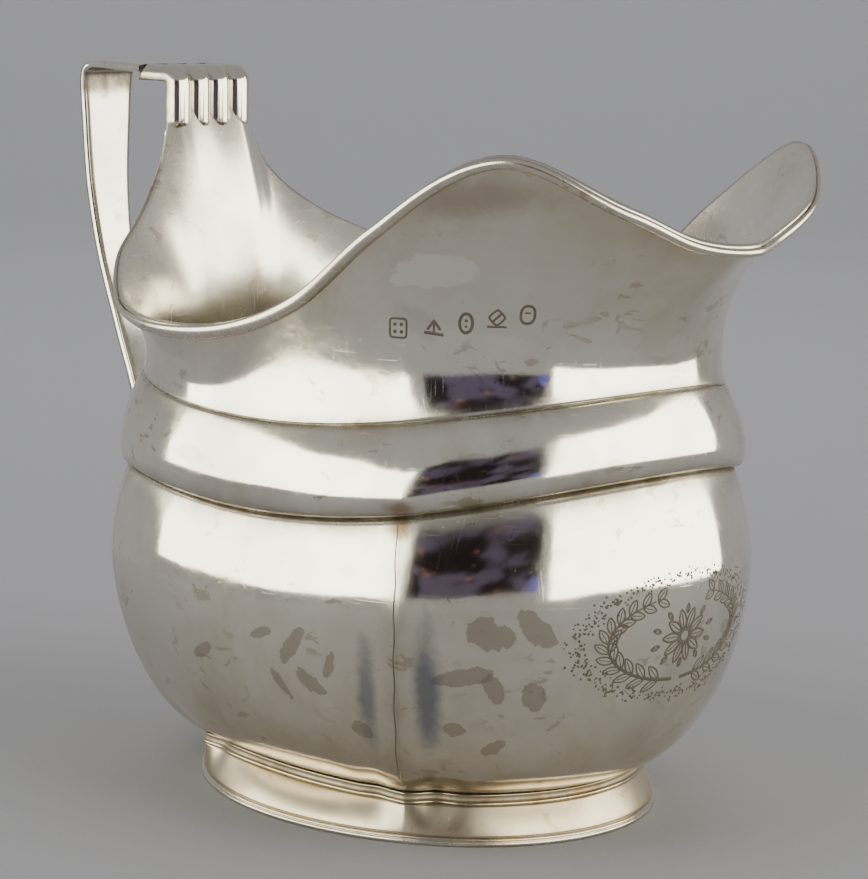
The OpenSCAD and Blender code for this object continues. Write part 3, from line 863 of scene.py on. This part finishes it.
def paper(name, grey, high):
    """Matt backdrop paper, graduated from grey on the table to a paler tone up the wall: painted
    light, paler higher up.
    """
    m = bpy.data.materials.new(name)
    m.use_nodes = True
    g = Graph(m)
    bsdf = m.node_tree.nodes["Principled BSDF"]
    bsdf.inputs["Roughness"].default_value = 0.85
    bsdf.inputs["Specular IOR Level"].default_value = 0.1
    pos = g.node("ShaderNodeTexCoord").outputs["Object"]
    grain = g.noise(pos, 2400.0, 4.0, 0.7)
    height = g.node("ShaderNodeSeparateXYZ")
    g.link(pos, height.inputs[0])
    # Painted light: the paper's colour ramps from the low grey to the pale tone over the first
    # 0.75 m of height.
    tone = g.mix(g.ramp(height.outputs["Z"], 0.0, 0.75), grey, high)
    g.link(g.mix(g.ramp(grain, 0.35, 0.65, 0.0, 0.07), tone, BLACK), bsdf.inputs["Base Color"])
    return m


def dish(name, profile, material, sides=128):
    """Surface of revolution about the foot centre from (radius, height) pairs."""
    pts, faces = [], []
    for r, z in profile:
        for k in range(sides):
            a = 2 * math.pi * k / sides
            pts.append((r * math.cos(a) + FOOT_X * MM, r * math.sin(a), z))
    for i in range(len(profile) - 1):
        for k in range(sides):
            k2 = (k + 1) % sides
            faces.append((i * sides + k, i * sides + k2,
                          (i + 1) * sides + k2, (i + 1) * sides + k))
    return stage_mesh(name, pts, faces, material)


grey_paper = paper("grey_paper", PAPER_LOW, PAPER_HIGH)
dish("table", [(0.00001, 0), (0.05, 0), (0.12, 0), (TABLE_R, 0)], grey_paper)
sweep = [(COVE_R - COVE_BEND + COVE_BEND * math.sin(a), COVE_BEND * (1 - math.cos(a)))
         for a in np.linspace(0, math.pi / 2, 20)]
cove = dish("cove", [(TABLE_R, 0), (0.5, 0)] + sweep + [(COVE_R, COVE_H)], grey_paper)
cove.visible_glossy = False

arc_box("box_left", -113, -33, -0.012, 0.34, BOX_R, SOFTBOX, SOFTBOX_TONE)
arc_box("box_right", 18, 112, -0.055, 0.39, BOX_R, SOFTBOX, SOFTBOX_TONE)
dim = arc_box("dark_gap", -30, 14, -0.008, 0.36, BOX_R - 0.02, 0.12, (0.85, 0.72, 1.0))
panel = Graph(dim.data.materials[0])
glow = next(n for n in panel.nt.nodes if n.type == "EMISSION")
where = panel.node("ShaderNodeTexCoord").outputs["Object"]
shade = panel.mix(panel.ramp(panel.noise(where, 9.0, 3.0), 0.44, 0.54),
                  (0.95, 0.78, 1.3), (0.14, 0.10, 0.12))
shade = panel.mix(panel.ramp(panel.noise(where, 14.0, 2.0), 0.62, 0.66, 0.0, 0.9),
                  shade, (2.8, 1.5, 1.1))
panel.link(shade, glow.inputs["Color"])
arc_box("violet_edge", 11, 16, -0.008, 0.06, BOX_R - 0.04, 0.55, (0.25, 0.22, 1.0))


def area(name, az, el, dist, size, power, away=None):
    """Soft round light. It shines at the jug, or straight away from the direction given."""
    data = bpy.data.lights.new(name, "AREA")
    data.shape, data.size, data.energy = "DISK", size, power
    o = bpy.data.objects.new(name, data)
    a, e = math.radians(AZ + az), math.radians(el)
    p = Vector((math.sin(a) * math.cos(e), -math.cos(a) * math.cos(e), math.sin(e))) * dist
    facing = (away or p).to_track_quat("Z", "Y").to_matrix().to_4x4()
    o.matrix_world = Matrix.Translation(p) @ facing
    bpy.context.scene.collection.objects.link(o)
    o.visible_glossy = False
    return o


area("key", -60, 50, 1.1, 0.8, 4.8)
area("fill", 60, 45, 1.1, 0.8, 6.0)
area("top", 180, 70, 1.2, 0.9, 2.8)
wall = area("wall", 180, 74, 1.15, 0.7, 9.5,
            Vector((math.sin(math.radians(AZ)), -math.cos(math.radians(AZ)), 0.35)))
wall.visible_camera = False
world = bpy.data.worlds.new("world")
bpy.context.scene.world = world
world.use_nodes = True
world.node_tree.nodes["Background"].inputs["Color"].default_value = (*WORLD_TONE, 1)
world.node_tree.nodes["Background"].inputs["Strength"].default_value = 1.0
